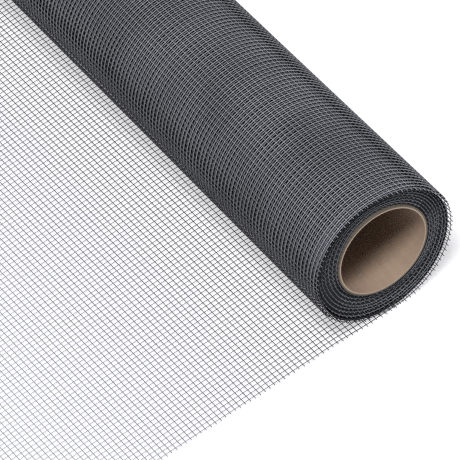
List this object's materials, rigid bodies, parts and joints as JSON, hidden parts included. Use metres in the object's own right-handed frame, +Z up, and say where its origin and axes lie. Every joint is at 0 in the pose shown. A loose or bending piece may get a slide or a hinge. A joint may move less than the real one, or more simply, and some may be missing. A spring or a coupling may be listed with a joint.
{
  "type": "roll of fiberglass insect screen",
  "caption": "Roll of charcoal fiberglass insect screen on a thin paper core, lying on its side with the loose end of the mesh run out flat.",
  "frame": {"origin": "on the floor, under the roll's axis and halfway along it", "axes": "+X along the roll's axis, -Y towards the cut end of the loose cloth, +Z up"},
  "size_m": [0.61, 0.1707, 0.041],
  "materials": {
    "core_paper": "matte brown paper",
    "screen_yarn": "satin vinyl-coated yarn"
  },
  "bodies": {
    "root": {"core_tube": "core_paper", "wound_roll": "screen_yarn", "loose_end": "screen_yarn"}
  },
  "joints": []
}
